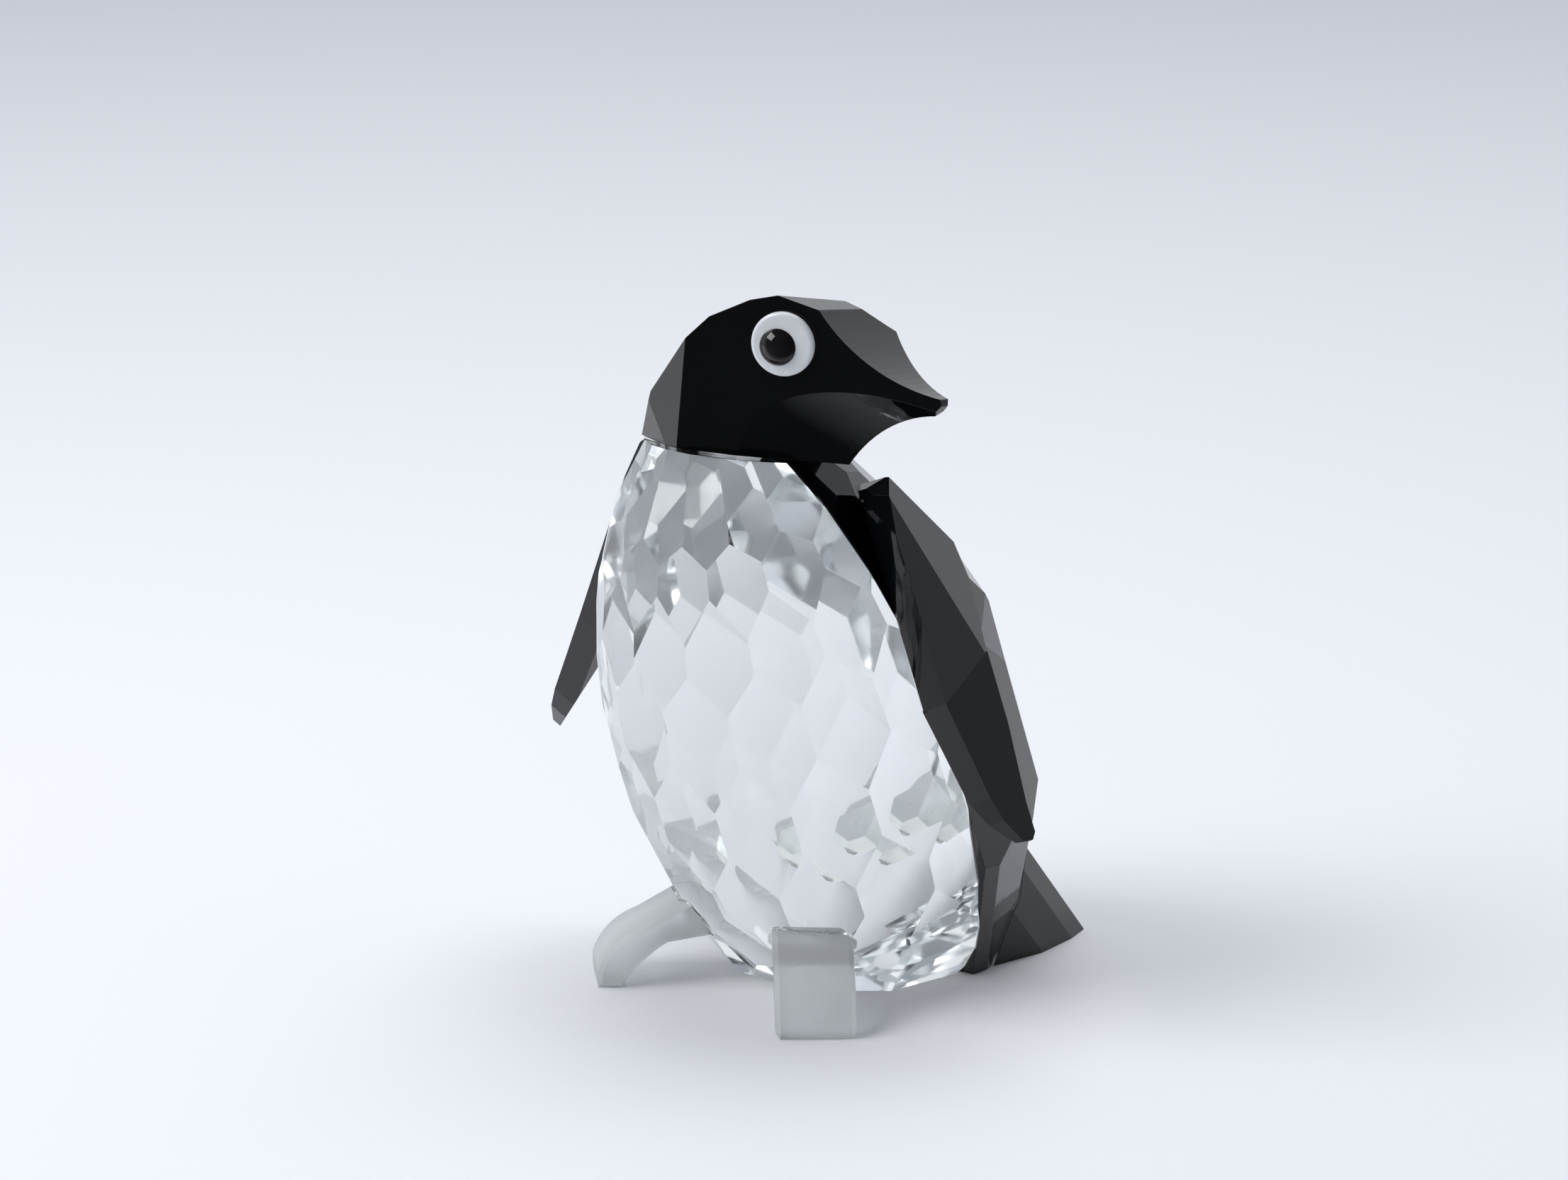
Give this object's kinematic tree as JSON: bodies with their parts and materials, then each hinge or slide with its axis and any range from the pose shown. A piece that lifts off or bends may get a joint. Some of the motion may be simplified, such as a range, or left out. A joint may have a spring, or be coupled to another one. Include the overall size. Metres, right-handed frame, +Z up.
{
  "type": "penguin figurine",
  "caption": "Small standing penguin of cut glass: clear belly, black back, head, wings and tail, frosted feet. An ornament that rests on its flat base.",
  "frame": {"origin": "on the ground flat of the clear belly piece, in the plane that halves body, wings and feet", "axes": "+Z up, -Y the way the belly faces, +X the penguin's left, where the head looks"},
  "size_m": [0.0464, 0.0375, 0.0545],
  "materials": {
    "clear_glass": "clear, faceted and polished",
    "black_glass": "opaque black, faceted and polished",
    "frosted_glass": "frosted, satin",
    "mirror_coating": "silvered coating behind clear glass",
    "adhesive": "clear cured adhesive",
    "eye_white": "glossy white with a rounded rim",
    "eye_black": "glossy black dome"
  },
  "bodies": {
    "root": {"body_front": "clear_glass", "body_back": "black_glass", "mirror_layer": "mirror_coating", "head": "black_glass", "wing_left": "black_glass", "wing_right": "black_glass", "tail": "black_glass", "foot_left": "frosted_glass", "foot_right": "frosted_glass", "eye_white_left": "eye_white", "eye_white_right": "eye_white", "pupil_left": "eye_black", "pupil_right": "eye_black", "head_bond": "adhesive", "wing_bond_left": "adhesive", "wing_bond_right": "adhesive", "tail_bond": "adhesive", "foot_bond_left": "adhesive", "foot_bond_right": "adhesive", "eye_bond_left": "adhesive", "eye_bond_right": "adhesive"}
  },
  "joints": []
}
